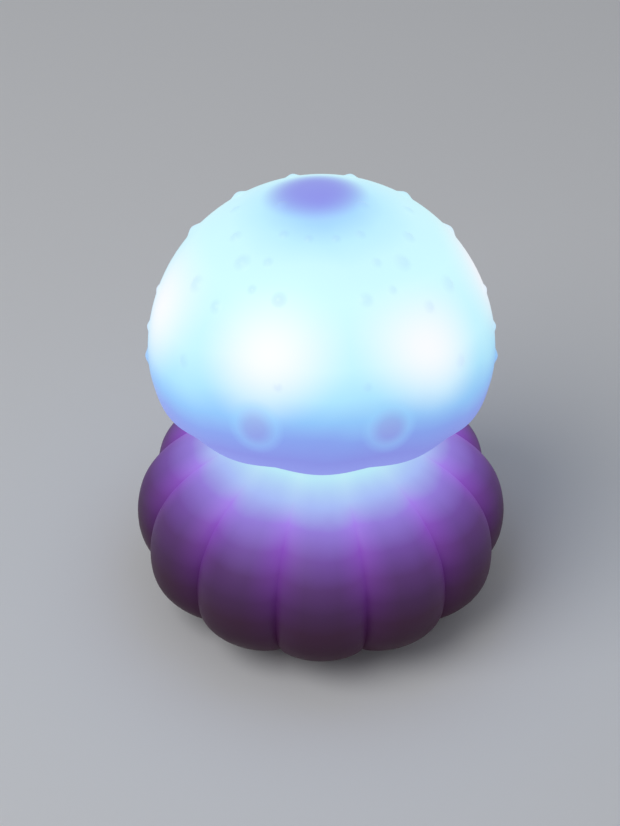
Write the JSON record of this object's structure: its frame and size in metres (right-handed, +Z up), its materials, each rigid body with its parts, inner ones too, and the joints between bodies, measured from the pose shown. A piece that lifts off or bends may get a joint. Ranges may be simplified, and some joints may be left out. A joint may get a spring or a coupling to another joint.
{
  "type": "floating pool light",
  "caption": "Floating pool light: a round translucent bell with small bumps over a ribbed, rounded float, lit from inside, with a battery door and push button underneath.",
  "frame": {"origin": "centre of the flat ring under the float that the light rests on", "axes": "+Z up through the bell's top, -Y towards the front with the two round eye bosses, +X to the right seen from behind the light"},
  "size_m": [0.16, 0.16, 0.194],
  "materials": {
    "bell_pvc": "satin, milky translucent, lit from inside",
    "floor_pvc": "satin, translucent",
    "float_pvc": "satin, pink translucent, lit from inside",
    "silicone": "matt",
    "white_abs": "fine texture",
    "grey_abs": "fine texture",
    "button_tpe": "satin",
    "stainless": "bright",
    "cast_ballast": "cast, painted",
    "cell_wrap": "gloss shrink sleeve",
    "nickel": "bright plate",
    "fr4": "solder mask",
    "chip_epoxy": "matt",
    "ferrite": "matt",
    "can": "satin",
    "anodised": "satin",
    "led_board_white": "white solder mask",
    "led_lens": "clear silicone, lit",
    "brass_pin": "bright",
    "wire_pvc": "satin insulation"
  },
  "bodies": {
    "light": {"ballast": "cast_ballast", "battery_leads": "wire_pvc", "bell_floor": "floor_pvc", "bell_skin": "bell_pvc", "board_screws": "stainless", "button_spring": "nickel", "capacitor": "can", "cell_contacts": "nickel", "cell_holder": "grey_abs", "cell_springs": "nickel", "cells": "cell_wrap", "column": "white_abs", "column_screws": "stainless", "control_chips": "chip_epoxy", "crown_cap": "grey_abs", "crown_leads": "wire_pvc", "crown_screw": "stainless", "driver_board": "fr4", "feed_pins": "brass_pin", "float_shell": "float_pvc", "inductor": "ferrite", "junction_board": "fr4", "led_boards": "led_board_white", "led_carrier": "anodised", "leds": "led_lens", "neck_gasket": "silicone", "neck_nut": "white_abs", "pack_terminals": "nickel", "plate_gasket": "silicone", "plate_screws": "stainless", "service_plate": "white_abs", "switch_body": "chip_epoxy", "well_contacts": "nickel"},
    "door": {"battery_door": "grey_abs", "door_seal": "silicone"},
    "button": {"push_button": "button_tpe", "button_ring": "silicone", "switch_plunger": "grey_abs"}
  },
  "joints": [
    {"name": "door_turn", "type": "hinge", "parent": "light", "child": "door", "pos_m": [0, 0, 0.0015], "axis": [0, 0, 1], "range_deg": [-60, 0]},
    {"name": "button_press", "type": "slide", "parent": "light", "child": "button", "axis": [0, 0, 1], "range_m": [0, 0.0012], "stiffness_N_per_m": 400, "springref_m": -0.002, "deforming": ["button_spring"]}
  ]
}
